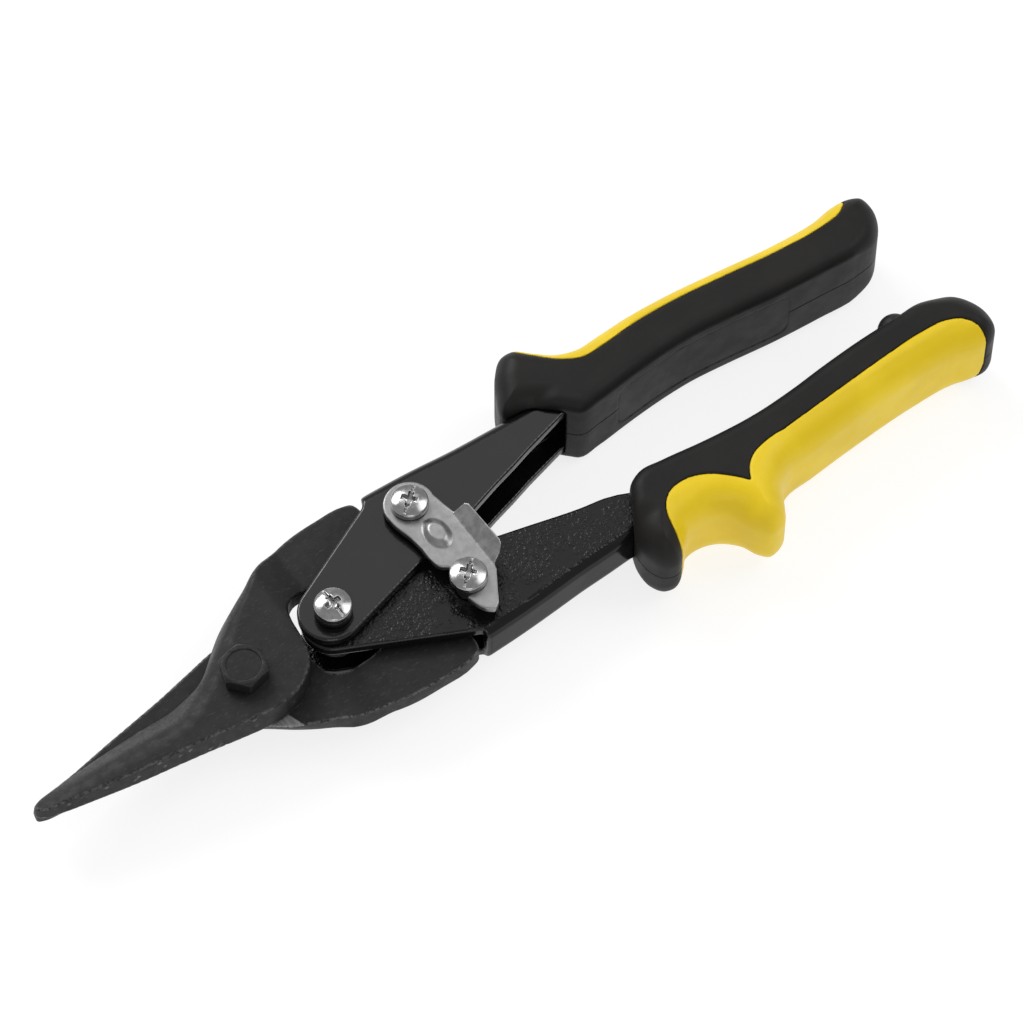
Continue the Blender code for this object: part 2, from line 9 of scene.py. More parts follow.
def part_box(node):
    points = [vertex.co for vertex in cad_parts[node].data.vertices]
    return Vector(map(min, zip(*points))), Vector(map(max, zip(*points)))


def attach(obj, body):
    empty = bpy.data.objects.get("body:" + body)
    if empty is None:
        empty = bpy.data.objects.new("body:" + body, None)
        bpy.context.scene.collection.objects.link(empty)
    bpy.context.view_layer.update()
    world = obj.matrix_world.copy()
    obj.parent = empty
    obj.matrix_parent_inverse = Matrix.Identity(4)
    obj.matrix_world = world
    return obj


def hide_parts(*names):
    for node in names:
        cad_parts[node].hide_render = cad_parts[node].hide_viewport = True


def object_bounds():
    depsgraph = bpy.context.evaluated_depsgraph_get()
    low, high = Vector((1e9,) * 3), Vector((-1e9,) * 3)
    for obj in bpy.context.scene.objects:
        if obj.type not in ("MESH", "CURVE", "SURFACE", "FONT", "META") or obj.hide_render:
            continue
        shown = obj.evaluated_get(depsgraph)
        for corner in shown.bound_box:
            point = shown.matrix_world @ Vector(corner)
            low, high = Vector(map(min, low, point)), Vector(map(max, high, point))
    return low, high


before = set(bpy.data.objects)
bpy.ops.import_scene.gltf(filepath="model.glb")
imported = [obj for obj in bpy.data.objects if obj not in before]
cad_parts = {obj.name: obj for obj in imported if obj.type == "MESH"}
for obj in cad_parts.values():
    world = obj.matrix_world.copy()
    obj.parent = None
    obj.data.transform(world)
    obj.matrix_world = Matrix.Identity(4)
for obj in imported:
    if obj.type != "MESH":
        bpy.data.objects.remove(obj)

CAD_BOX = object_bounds()
MM = 0.001
GRID_SCALE = 1.0   # every grid step is multiplied by this

# Levels and centres come from the boxes of the frame's nodes. They are in millimetres from the handle pivot,
# on the plane where the blades shear.


def middle(node):
    low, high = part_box(node)
    return (low + high) / 2


ORIGIN = Vector((*middle("handle_pivot_washer").xy, middle("left_handle").z))


def centre(node):
    point = (middle(node) - ORIGIN) / MM
    return point.x, point.y


def heights(node):
    low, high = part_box(node)
    return (low.z - ORIGIN.z) / MM, (high.z - ORIGIN.z) / MM


LEFT_PIN = centre("left_pin_spacer_upper")
RIGHT_PIN = centre("right_pin_spacer_upper")
JAW_PIVOT = centre("jaw_spring_washer")
SHEAR_GAP = 0.15   # from the shear plane to each blade
JAW_TOP = heights("upper_jaw")[1]
LEFT_HALF = heights("left_handle")[1]
RIGHT_HALF = heights("right_handle")[1]
GRIP_HALF = heights("left_grip_body")[1]
SHEET = 2.5   # thickness of the handles' steel


def place(point):
    """A point of the tool, in the units and position of the frame."""
    return Vector(point) * MM + ORIGIN


# Outlines

FILLET_STEP = 6   # degrees


def arc(hub, radius, start, end, steps):
    angles = np.radians(np.linspace(start, end, steps + 1))
    return [(hub[0] + radius * math.cos(a), hub[1] + radius * math.sin(a)) for a in angles]


def fillet(corners):
    """A closed outline from (x, y, radius) corners. A corner of radius 0 stays as it is."""
    outline = []
    count = len(corners)
    for i, (x, y, radius) in enumerate(corners):
        here = Vector((x, y))
        if radius <= 0:
            outline.append((x, y))
            continue
        before = (Vector(corners[i - 1][:2]) - here).normalized()
        after = (Vector(corners[(i + 1) % count][:2]) - here).normalized()
        half = before.angle(after) / 2
        reach = radius / math.tan(half)
        hub = here + (before + after).normalized() * radius / math.sin(half)
        first = here + before * reach - hub
        turn = first.angle_signed(here + after * reach - hub)
        steps = max(2, int(abs(math.degrees(turn)) / FILLET_STEP))
        for k in range(steps + 1):
            spoke = first.copy()
            spoke.rotate(Matrix.Rotation(-turn * k / steps, 2))
            outline.append(tuple(hub + spoke))
    return outline


def curve(points, closed=True, steps=6):
    """A smooth curve through every point, with steps pieces to a span."""
    p = np.array(points, float)
    if closed:
        p = np.concatenate([p[-1:], p, p[:2]])
    else:
        p = np.concatenate([2 * p[:1] - p[1:2], p, 2 * p[-1:] - p[-2:-1]])
    spans = np.diff(p, axis=0)
    lengths = np.linalg.norm(spans, axis=1)[:, None]
    rates = spans / lengths
    slopes = (lengths[1:] * rates[:-1] + lengths[:-1] * rates[1:]) / (lengths[1:] + lengths[:-1])
    made = []
    for i in range(len(slopes) - 1):
        a, b, long = p[i + 1], p[i + 2], lengths[i + 1]
        for t in np.arange(steps) / steps:
            made.append(a * (1 + 2 * t) * (1 - t) ** 2 + b * t * t * (3 - 2 * t)
                        + long * (slopes[i] * t * (1 - t) ** 2 - slopes[i + 1] * t * t * (1 - t)))
    if not closed:
        made.append(p[-2])
    return [tuple(q) for q in made]


class Plan:
    """Signed distance to a closed outline, negative inside, sampled on a fine grid in plan."""

    def __init__(self, outline, margin=5.0, step=0.2):
        p = np.array(outline, float)
        self.step = step
        self.low = p.min(0) - margin
        count = np.ceil((p.max(0) + margin - self.low) / step).astype(int) + 1
        x = (self.low[0] + step * np.arange(count[0]))[:, None]
        y = (self.low[1] + step * np.arange(count[1]))[None, :]
        best = np.full(tuple(count), np.inf)
        inside = np.zeros(tuple(count), bool)
        for a, b in zip(p, np.roll(p, -1, 0)):
            edge = b - a
            length_squared = edge @ edge
            if length_squared < 1e-12:
                continue
            along = np.clip(((x - a[0]) * edge[0] + (y - a[1]) * edge[1]) / length_squared, 0, 1)
            best = np.minimum(best, (x - a[0] - edge[0] * along) ** 2 + (y - a[1] - edge[1] * along) ** 2)
            if edge[1] != 0:
                crossing = (a[1] > y) != (b[1] > y)
                inside ^= crossing & (x < edge[0] * (y - a[1]) / edge[1] + a[0])
        self.values = np.where(inside, -1, 1) * np.sqrt(best)

    def __call__(self, x, y):
        """The distance between the grid's points, each way in proportion."""
        last = np.array(self.values.shape) - 1.001
        u = np.clip((x - self.low[0]) / self.step, 0, last[0])
        v = np.clip((y - self.low[1]) / self.step, 0, last[1])
        u, v = np.broadcast_arrays(u, v)
        i, j = u.astype(int), v.astype(int)
        s, t = u - i, v - j
        g = self.values
        return (g[i, j] * (1 - s) * (1 - t) + g[i + 1, j] * s * (1 - t)
                + g[i, j + 1] * (1 - s) * t + g[i + 1, j + 1] * s * t)


# Fields: a shape is a function of (x, y, z) in millimetres, negative inside.


def meet(a, b, radius=0.0):
    """What lies in both shapes, with a rounded edge where their faces cross."""
    if np.max(radius) <= 0:
        return np.maximum(a, b)
    a, b = a + radius, b + radius
    return np.minimum(np.maximum(a, b), 0) + np.hypot(np.maximum(a, 0), np.maximum(b, 0)) - radius


def join(a, b, radius):
    """What lies in either shape."""
    return -meet(-a, -b, radius)


def cut(a, b, radius):
    """What lies in the first shape and not in the second."""
    return meet(a, -b, radius)


def rise(value, low, high):
    """A smooth step, 0 at low and 1 at high, whichever of the two is more."""
    part = np.clip((value - low) / (high - low), 0, 1)
    return part * part * (3 - 2 * part)


def column(x, y, hub, radius):
    """An endless upright cylinder."""
    return np.hypot(x - hub[0], y - hub[1]) - radius


def layer(z, low, high):
    """All that lies between two levels."""
    return np.abs(z - (low + high) / 2) - (high - low) / 2


SETTLING_ROUNDS = 3
LONGEST_MOVE = 0.6   # in grid steps
PROBE = 0.02   # millimetres between the two readings of a slope
LEAST_SLOPE = 0.2   # squared. A flatter field doesn't move a point further.


def surface_of(field, axes):
    """Quads on a field's zero surface, by surface nets on a grid. Their points then move onto the surface."""
    xs, ys, zs = axes
    shape = (len(xs), len(ys), len(zs))
    grid = np.broadcast_to(field(xs[:, None, None], ys[None, :, None], zs[None, None, :]), shape)
    inside = grid < 0
    cells = tuple(n - 1 for n in shape)
    ids, points, rings = [], [], []
    for axis in range(3):
        start = [slice(None)] * 3
        end = [slice(None)] * 3
        start[axis], end[axis] = slice(None, -1), slice(1, None)
        # The grid edges along this axis that the surface crosses, and where it crosses them
        index = np.nonzero(inside[tuple(start)] != inside[tuple(end)])
        beyond = list(index)
        beyond[axis] = index[axis] + 1
        a, b = grid[index], grid[tuple(beyond)]
        point = np.stack([axes[k][index[k]] for k in range(3)], 1)
        point[:, axis] += a / (a - b) * (axes[axis][beyond[axis]] - axes[axis][index[axis]])
        # The four cells round each of those edges, which are the corners of its quad
        others = [k for k in range(3) if k != axis]
        around = []
        for du, dv in ((1, 1), (0, 1), (0, 0), (1, 0)):
            cell = [n.copy() for n in index]
            cell[others[0]] -= du
            cell[others[1]] -= dv
            around.append(np.ravel_multi_index(cell, cells, mode="clip"))
            ids.append(around[-1])
            points.append(point)
        ring = np.stack(around, 1)
        turned_over = (a < 0) == (axis == 1)
        ring[turned_over] = ring[turned_over][:, ::-1]
        rings.append(ring)
    # One point to a cell: the mean of the crossings on the cell's edges
    kept, inverse = np.unique(np.concatenate(ids), return_inverse=True)
    points = np.concatenate(points)
    weight = np.bincount(inverse)
    p = np.stack([np.bincount(inverse, points[:, k]) / weight for k in range(3)], 1)
    quads = np.searchsorted(kept, np.concatenate(rings))
    # Steps down the field's slope put the points on the surface
    reach = LONGEST_MOVE * (xs[1] - xs[0])
    for _ in range(SETTLING_ROUNDS):
        here = field(*p.T)
        slope = np.stack([field(*(p + PROBE * unit).T) - here for unit in np.eye(3)], 1) / PROBE
        step = here[:, None] * slope / np.maximum(np.sum(slope * slope, axis=1), LEAST_SLOPE)[:, None]
        size = np.linalg.norm(step, axis=1)[:, None]
        p = p - step * np.minimum(1, reach / np.maximum(size, 1e-9))
    return p, quads


def span(low, high, step):
    """Grid lines that run a little past both ends."""
    step = step * GRID_SCALE
    count = int(math.ceil((high - low) / step)) + 3
    return low - step + (high - low + 2 * step) * np.arange(count) / (count - 1)


def stations(*stops):
    """Grid lines from (position, step) stops: each step holds until the next stop."""
    lines = []
    for (low, step), (high, _) in zip(stops, stops[1:]):
        count = max(1, int(round((high - low) / (step * GRID_SCALE))))
        lines.append(low + (high - low) * np.arange(count) / count)
    return np.concatenate(lines + [[stops[-1][0]]])


def grid_round(hub, reach, step):
    """Grid lines both ways in plan round a hub."""
    return span(hub[0] - reach, hub[0] + reach, step), span(hub[1] - reach, hub[1] + reach, step)


def mesh_object(name, points, quads, look, turn):
    """A smooth mesh object from points in millimetres and quads, in its place in the frame."""
    if turn is not None:
        points = points @ np.array(turn.to_3x3()).T
    world = points * MM + np.array(ORIGIN)
    mesh = bpy.data.meshes.new(name)
    mesh.vertices.add(len(world))
    mesh.vertices.foreach_set("co", world.astype(np.float32).ravel())
    mesh.loops.add(quads.size)
    mesh.loops.foreach_set("vertex_index", quads.astype(np.int32).ravel())
    mesh.polygons.add(len(quads))
    mesh.polygons.foreach_set("loop_start", np.arange(0, quads.size, 4, dtype=np.int32))
    mesh.update(calc_edges=True)
    mesh.validate()
    mesh.materials.append(look)
    mesh.shade_smooth()
    obj = bpy.data.objects.new(name, mesh)
    bpy.context.scene.collection.objects.link(obj)
    return obj


def assign(obj, body, node):
    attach(obj, body)
    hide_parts(node)


def solid(name, field, axes, look, body, node, turn=None):
    """A visible piece with a field's surface, that rides on a body and replaces a node."""
    assign(mesh_object(name, *surface_of(field, axes), look, turn), body, node)


# Materials


class Nodes:
    """A short way to build a material's node tree."""

    def __init__(self, name):
        self.material = bpy.data.materials.new(name)
        self.material.use_nodes = True
        self.tree = self.material.node_tree
        self.shader = self.tree.nodes["Principled BSDF"]
        source = self.tree.nodes.new("ShaderNodeTexCoord")
        self.coordinates = source.outputs["Object"]
        self.normal = source.outputs["Normal"]

    def put(self, socket, value):
        if hasattr(value, "links"):
            self.tree.links.new(value, socket)
        else:
            socket.default_value = value

    def noise(self, size, detail=4.0, rough=0.55, stretch=None):
        """Noise from 0 to 1 with lumps about size millimetres across. Stretch is a scale and a rotation."""
        made = self.tree.nodes.new("ShaderNodeTexNoise")
        made.inputs["Scale"].default_value = 1 / (size * MM)
        made.inputs["Detail"].default_value = detail
        made.inputs["Roughness"].default_value = rough
        source = self.coordinates
        if stretch is not None:
            mapping = self.tree.nodes.new("ShaderNodeMapping")
            mapping.inputs["Scale"].default_value = stretch[0]
            mapping.inputs["Rotation"].default_value = stretch[1]
            self.tree.links.new(source, mapping.inputs["Vector"])
            source = mapping.outputs["Vector"]
        self.tree.links.new(source, made.inputs["Vector"])
        return made.outputs["Fac"]

    def spots(self, size):
        """The distance to the nearest of many scattered points, about size millimetres apart."""
        made = self.tree.nodes.new("ShaderNodeTexVoronoi")
        made.inputs["Scale"].default_value = 1 / (size * MM)
        self.tree.links.new(self.coordinates, made.inputs["Vector"])
        return made.outputs["Distance"]

    def math(self, operation, a, b=0.0, clamp=False):
        made = self.tree.nodes.new("ShaderNodeMath")
        made.operation = operation
        made.use_clamp = clamp
        self.put(made.inputs[0], a)
        self.put(made.inputs[1], b)
        return made.outputs[0]

    def times(self, a, b):
        return self.math("MULTIPLY", a, b)

    def remap(self, value, low, high, to_low=0.0, to_high=1.0):
        """A smooth step between two numbers as a value goes from low to high."""
        made = self.tree.nodes.new("ShaderNodeMapRange")
        made.interpolation_type = "SMOOTHSTEP"
        self.put(made.inputs["Value"], value)
        for name, number in (("From Min", low), ("From Max", high), ("To Min", to_low), ("To Max", to_high)):
            made.inputs[name].default_value = number
        return made.outputs["Result"]

    def mix(self, share, a, b):
        made = self.tree.nodes.new("ShaderNodeMix")
        made.data_type = "RGBA"
        self.put(made.inputs[0], share)
        self.put(made.inputs[6], (*a, 1.0) if isinstance(a, tuple) else a)
        self.put(made.inputs[7], (*b, 1.0) if isinstance(b, tuple) else b)
        return made.outputs[2]

    def pointiness(self, low, high, to_low=0.0, to_high=1.0):
        """Edges have a pointiness over 0.5 and hollows have one under it."""
        made = self.tree.nodes.new("ShaderNodeNewGeometry")
        return self.remap(made.outputs["Pointiness"], low, high, to_low, to_high)

    def parts(self, vector):
        made = self.tree.nodes.new("ShaderNodeSeparateXYZ")
        self.tree.links.new(vector, made.inputs[0])
        return made.outputs

    def facing(self, axis, low, high, to_low=0.0, to_high=1.0):
        """One number where the surface faces away from an object axis, the other where it faces along it."""
        return self.remap(self.parts(self.normal)[axis], low, high, to_low, to_high)

    def bump(self, height, distance, strength, under=None):
        """A normal. Distance is in millimetres, and under is a normal that this one is laid over."""
        made = self.tree.nodes.new("ShaderNodeBump")
        made.inputs["Strength"].default_value = strength
        made.inputs["Distance"].default_value = distance * MM
        self.put(made.inputs["Height"], height)
        if under is not None:
            self.tree.links.new(under, made.inputs["Normal"])
        return made.outputs["Normal"]

    def finish(self, colour, roughness, metallic=0.0, normal=None, shine=None):
        self.put(self.shader.inputs["Base Color"], (*colour, 1.0) if isinstance(colour, tuple) else colour)
        self.put(self.shader.inputs["Roughness"], roughness)
        self.put(self.shader.inputs["Metallic"], metallic)
        if normal is not None:
            self.put(self.shader.inputs["Normal"], normal)
        if shine is not None:
            self.put(self.shader.inputs["Specular IOR Level"], shine)
        return self.material


def grey(level):
    return (level, level, level)


def ground_area(n):
    """1 on the shear face of the lower jaw beside the heel, 0 elsewhere."""
    x, y, z = n.parts(n.coordinates)
    above = n.math("ABSOLUTE", n.math("SUBTRACT", z, ORIGIN.z))
    face = n.remap(above, 0.28 * MM, 0.45 * MM, 1.0, 0.0)
    lean = 0.35
    slant = n.math("ADD", x, n.times(y, lean))
    limit = place((-20.0, -14.0, 0))
    border = limit.x + lean * limit.y
    soft = 0.2 * MM
    area = n.remap(slant, border - soft, border + soft, 1.0, 0.0)
    near_side = n.remap(y, place((0, -8.0, 0)).y, place((0, -6.0, 0)).y, 1.0, 0.0)
    return n.times(n.times(face, area), near_side)


def forged_look(name, darkest, lightest, wear, ground=False):
    """Black-oxide forging: fine grain, soft scuffs, rubbed edges, painted light on faces towards +y and, if
    asked for, a bright shear face.
    """
    n = Nodes(name)
    scuff = n.remap(n.noise(1.6, 5, 0.7, stretch=((1.0, 2.6, 1.0), (0, 0, 0.5))), 0.54, 0.72)
    rub = n.times(n.pointiness(0.505, 0.555), n.remap(n.noise(1.1, 5, 0.75), 0.38, 0.62))
    worn = n.math("MAXIMUM", n.times(scuff, 0.16), n.times(rub, wear), clamp=True)
    # Painted light: faces towards +y are a mottled lighter grey, standing in for the light that falls on
    # them.
    painted_light = n.times(n.facing(1, 0.3, 0.6), n.remap(n.noise(0.7, 3), 0.3, 0.62, 0.35, 1.0))
    base = n.mix(painted_light, n.mix(n.noise(9.0, 4), grey(darkest), grey(lightest)), grey(0.055))
    colour = n.mix(worn, base, grey(0.16))
    rough = n.math("ADD", n.remap(n.noise(2.5, 4), 0.3, 0.7, 0.46, 0.6), n.times(worn, -0.1))
    normal = n.bump(n.noise(0.35, 3), 0.03, 0.55, n.bump(n.noise(3.5, 2), 0.12, 0.35))
    if not ground:
        return n.finish(colour, rough, 0.0, normal, shine=0.29)
    area = ground_area(n)
    lines = n.noise(0.25, 4, 0.6, stretch=((1.0, 0.06, 1.0), (0, 0, 0.35)))
    steel = n.mix(n.remap(lines, 0.3, 0.7), grey(0.16), grey(0.34))
    return n.finish(n.mix(area, colour, steel), rough, n.times(area, 0.8), normal, shine=0.27)


def paint_look(name, peel, shine):
    """Dipped gloss black enamel. Peel is how strongly the skin on its upward faces wrinkles."""
    n = Nodes(name)
    dust = n.remap(n.spots(1.3), 0.0, 0.05, 1.0, 0.0)
    speck = n.times(dust, n.remap(n.noise(2.2, 2), 0.55, 0.62))
    colour = n.mix(n.noise(6.0, 3), grey(0.003), grey(0.006))
    rough = n.remap(n.noise(4.0, 4), 0.35, 0.75, 0.10, 0.2)
    patch = n.times(n.remap(n.noise(9.0, 2), 0.34, 0.5), n.facing(2, 0.9, 0.99))
    ripple = n.times(n.noise(0.8, 2, 0.5), n.math("ADD", n.times(patch, peel), 0.02))
    normal = n.bump(ripple, 0.42, 0.8, n.bump(speck, 0.05, 0.6, n.bump(n.noise(6.0, 2), 0.25, 0.25)))
    # Faces square to -y reflect less: a painted shade that darkens that side.
    return n.finish(colour, rough, 0.0, normal, shine=n.facing(1, -0.995, -0.93, shine * 0.35, shine))


def zinc_look(name, base, rough_low, rough_high):
    """Clear zinc plate: faint mottling, fine marks, small dark pits, a painted highlight on its edges and
    painted shade in its hollows.
    """
    n = Nodes(name)
    mottle = n.remap(n.noise(2.2, 5, 0.65), 0.3, 0.7)
    lines = n.noise(0.35, 4, 0.6, stretch=((1.0, 0.08, 1.0), (0.2, 0.1, 0.9)))
    pits = n.times(n.remap(n.spots(1.1), 0.0, 0.09, 1.0, 0.0), n.remap(n.noise(3.1, 2), 0.52, 0.6))
    tone = n.mix(mottle, grey(base * 0.88), grey(base * 1.08))
    tone = n.mix(n.remap(lines, 0.58, 0.75, 0.0, 0.35), tone, grey(base * 1.25))
    colour = n.mix(n.times(pits, 0.7), tone, grey(0.08))
    # Painted highlight: edges are lighter.
    colour = n.mix(n.pointiness(0.53, 0.6), colour, grey(base * 1.9))
    # Painted shade: hollows such as the screw recesses are darker.
    colour = n.mix(n.pointiness(0.42, 0.49, 1.0, 0.0), colour, grey(base * 0.12))
    rough = n.math("ADD", n.remap(mottle, 0.0, 1.0, rough_low, rough_high), n.times(pits, 0.2))
    normal = n.bump(lines, 0.02, 0.35, n.bump(n.noise(1.4, 3), 0.05, 0.35))
    return n.finish(colour, rough, 1.0, normal)


def dark_metal_look():
    """Blackened steel, rubbed at its edges."""
    n = Nodes("black_oxide_fastener")
    tone = n.mix(n.noise(1.5, 4), grey(0.008), grey(0.02))
    rub = n.times(n.pointiness(0.52, 0.6), n.remap(n.noise(0.7, 4), 0.4, 0.6))
    colour = n.mix(n.times(rub, 0.3), tone, grey(0.2))
    rough = n.remap(n.noise(1.0, 4), 0.3, 0.7, 0.32, 0.5)
    return n.finish(colour, rough, 0.7, n.bump(n.noise(0.3, 3), 0.02, 0.4))


def spring_look():
    """Drawn wire with fine lines."""
    n = Nodes("spring_wire")
    lines = n.noise(0.2, 3, 0.5, stretch=((1.0, 1.0, 6.0), (0, 0, 0)))
    tone = n.mix(lines, grey(0.03), grey(0.06))
    return n.finish(tone, n.remap(n.noise(1.0, 4), 0.3, 0.7, 0.35, 0.5), 1.0, n.bump(lines, 0.006, 0.3))


def plastic_look(name, dark, light, rough, grain_depth, dirt, shine):
    """Moulded grip plastic: spark-eroded grain, slow tone changes, a few scratches and specks."""
    n = Nodes(name)
    grain = n.noise(0.28, 2, 0.5)
    tone = n.mix(n.remap(n.noise(14.0, 4), 0.35, 0.65), dark, light)
    scratch = n.remap(n.noise(1.0, 5, 0.6, stretch=((0.25, 3.0, 1.0), (0, 0, 0.4))), 0.68, 0.76)
    specks = n.times(n.remap(n.spots(2.4), 0.0, 0.05, 1.0, 0.0), n.remap(n.noise(5.0, 2), 0.5, 0.56))
    mark = n.math("MAXIMUM", n.times(scratch, 0.35), specks)
    colour = n.mix(n.times(mark, 0.6), tone, dirt)
    slow = n.remap(n.noise(6.0, 4), 0.3, 0.7, rough - 0.05, rough + 0.05)
    roughness = n.math("ADD", slow, n.times(mark, 0.1))
    normal = n.bump(grain, grain_depth, 0.5, n.bump(n.noise(5.0, 2), 0.15, 0.25))
    return n.finish(colour, roughness, 0.0, normal, shine)


FORGED = forged_look("forged_black", darkest=0.007, lightest=0.012, wear=0.8)
GROUND = forged_look("ground_steel", darkest=0.006, lightest=0.011, wear=0.7, ground=True)
BOLT = forged_look("bolt_black", darkest=0.007, lightest=0.010, wear=0.2)
PAINT_LEFT = paint_look("enamel_smooth", peel=0.08, shine=0.5)
PAINT_RIGHT = paint_look("enamel_wrinkled", peel=0.65, shine=0.3)
ZINC_PLATE = zinc_look("zinc_latch", base=0.30, rough_low=0.30, rough_high=0.42)
ZINC_HEAD = zinc_look("zinc_screw", base=0.40, rough_low=0.16, rough_high=0.28)
DARK_METAL = dark_metal_look()
SPRING = spring_look()
BLACK = plastic_look("grip_black", dark=(0.0102, 0.0094, 0.0089), light=(0.0134, 0.0124, 0.0117), rough=0.5,
                     grain_depth=0.03, dirt=(0.09, 0.085, 0.08), shine=0.19)
YELLOW = plastic_look("grip_yellow", dark=(0.77, 0.545, 0.008), light=(0.83, 0.60, 0.014), rough=0.42,
                      grain_depth=0.02, dirt=(0.5, 0.34, 0.02), shine=0.3)
RUBBER = plastic_look("bumper_black", dark=(0.0085, 0.0080, 0.0077), light=(0.012, 0.0115, 0.011), rough=0.55,
                      grain_depth=0.03, dirt=(0.06, 0.06, 0.06), shine=0.36)


# Jaws

JOGGLE = (-9.0, 0.0)   # where the tail steps down to the shear plane
JAW_THICKNESS = JAW_TOP - SHEAR_GAP
TAIL_HALF = 2.4   # half the tail's thickness
BEVEL_TILT = math.radians(41.0)
BEVEL_EDGE = (3.9, 0.7)   # y and z of a line in the bevel
BEVEL_END = -44.0   # from here the bevel runs out towards the shoulder
TIP_TOP = 4.0   # the top's height at TIP_X, from where it rises by TAPER
TIP_X = -80.0
TAPER = 0.08
DRAFT = 0.1   # how much the blade's sides lean in
BOLT_HOLE = 3.3
TAIL_HOLE = 3.15


def jaw_outline(back, tail_end):
    """A jaw in plan, with the upper jaw's sides. Back is the side away from its cutting edge, tip to heel."""
    eye = arc(LEFT_PIN, 6.6, -100, 118, 14)
    corner = [(1.9, 17.0), (0.5, 18.3), (0.1, 19.9), (0.0, 22.4), (-0.8, 24.3), (-2.8, 25.1)]
    tail = [(tail_end + x, y) for x, y in corner]
    outer = [(12.2, 25.5), (3.5, 25.0), (-4.6, 22.8), (-11.5, 19.5), (-17.2, 17.1), (-22.4, 14.5)]
    shoulder = [(-26.8, 11.1), (-29.7, 8.4), (-32.1, 6.3), (-34.6, 4.9), (-38.0, 4.3)]
    edge = [(-52.0, 4.2), (-62.0, 3.8), (-69.7, 3.1), (-76.1, 2.4), (-80.3, 1.5)]
    tip = [(-81.7, 0.5), (-81.7, -0.7), (-80.5, -1.9)]
    heel = [(-25.0, -12.0), (-20.4, -11.9), (-16.0, -10.9), (-12.5, -8.6), (-10.2, -5.4)]
    throat = [(-8.9, -1.8), (-8.4, 2.0), (-7.9, 5.6), (-6.7, 8.8), (-4.2, 10.9), (0.8, 11.5), (8.0, 10.2)]
    return curve(eye + tail + outer + shoulder + edge + tip + back + heel + throat + [(17.0, 7.0)], steps=4)


UPPER_BACK = [(-76.0, -3.3), (-68.9, -4.8), (-56.8, -7.1), (-47.9, -8.4), (-39.1, -9.8), (-31.0, -11.2)]
LOWER_BACK = [(-76.0, -3.0), (-69.5, -3.9), (-59.5, -5.7), (-51.0, -7.1), (-42.7, -8.5), (-33.0, -10.5)]
UPPER_PLAN = Plan(jaw_outline(UPPER_BACK, 22.2))
LOWER_PLAN = Plan(jaw_outline(LOWER_BACK, 24.2))


def jaw_field(plan, x, y, z):
    """A jaw as the upper one lies: shear face down, edge towards +y, top beveled and tapered to the tip."""
    part = np.clip((x - JOGGLE[0]) / (JOGGLE[1] - JOGGLE[0]), 0, 1)
    part = 0.4 * part + 0.6 * rise(part, 0, 1)
    mid = (1 - part) * (SHEAR_GAP + JAW_THICKNESS / 2)
    half = (1 - part) * JAW_THICKNESS / 2 + part * TAIL_HALF
    up = z - mid - half
    down = mid - half - z
    run_out = 0.12 * np.maximum(x - BEVEL_END, 0) ** 1.4
    bevel = (y - BEVEL_EDGE[0]) * math.sin(BEVEL_TILT) + (z - BEVEL_EDGE[1]) * math.cos(BEVEL_TILT) - run_out
    taper = z - TIP_TOP - TAPER * (x - TIP_X)
    side = plan(x, y) + DRAFT * np.maximum(z - mid + half, 0) * rise(-x, 9.0, 15.0)
    rim = 0.6 + 2.0 * rise(y, 5.0, 13.0) * (1 - rise(x, -14.0, -4.0))
    top = meet(meet(up, taper, 3.0), bevel, 2.2)
    shape = meet(meet(side, top, rim), down, 0.2)
    shape = cut(shape, column(x, y, JAW_PIVOT, BOLT_HOLE), 0.3)
    return cut(shape, column(x, y, LEFT_PIN, TAIL_HOLE), 0.3)


def jaws():
    """The two jaws. The lower one is made like the upper one, then turned half round the tool's length."""
    step = 0.36
    axes = (span(-82.6, 36.6, step), span(-12.0, 25.4, step), span(-2.8, JAW_TOP + 0.4, 0.3))
    half_turn = Matrix.Rotation(math.pi, 4, "X")
    for name, plan, look, body, turn in (("upper_jaw", UPPER_PLAN, FORGED, "upper_blade", None),
                                         ("lower_jaw", LOWER_PLAN, GROUND, "lower_blade", half_turn)):
        solid(f"{name}_forging", partial(jaw_field, plan), axes, look, body, name, turn)


# Handles

EAR_RADIUS = 7.6
TANG_END = 150.0
LEFT_WEB_START = 24.0
RIGHT_WEB_START = 26.2
PIN_HOLE = 2.8
OUTER_BEND = 2.9
INNER_BEND = 0.7
CUT_EDGE = 0.45

LEFT_WEB_LINE = curve([
    (20.0, 22.3), (24.6, 22.1), (34.3, 21.6), (47.4, 20.4), (57.0, 19.9), (66.0, 19.5), (75.0, 19.5),
    (90.0, 20.6), (105.0, 20.7), (125.0, 19.4), (150.0, 17.2), (160.0, 16.3)], closed=False)
RIGHT_WEB_LINE = curve([
    (20.0, -24.3), (26.6, -24.2), (37.1, -23.9), (45.4, -23.4), (53.9, -22.8), (62.0, -22.5), (68.0, -22.2),
    (80.0, -22.4), (100.0, -23.2), (125.0, -23.0), (150.0, -22.4), (160.0, -22.2)], closed=False)


def left_handle_outline():
    ear = [(x, y, 0) for x, y in arc((-0.5, 0.6), EAR_RADIUS, 284, 115, 48)]
    outer = [(21.4, 19.1, 3.0), (22.4, 21.7, 1.0)]
    web = [(x, y, 0) for x, y in LEFT_WEB_LINE if 24.0 < x <= TANG_END]
    inner = [(TANG_END, 12.0, 1.0), (133.0, 13.4, 30), (118.0, 14.4, 30), (103.0, 14.8, 30), (90.0, 14.2, 30),
             (75.1, 13.0, 30), (61.6, 9.5, 30), (56.0, 7.8, 30), (50.0, 6.2, 60), (40.9, 3.4, 60),
             (24.0, -0.7, 30)]
    return fillet(ear + outer + web + inner)


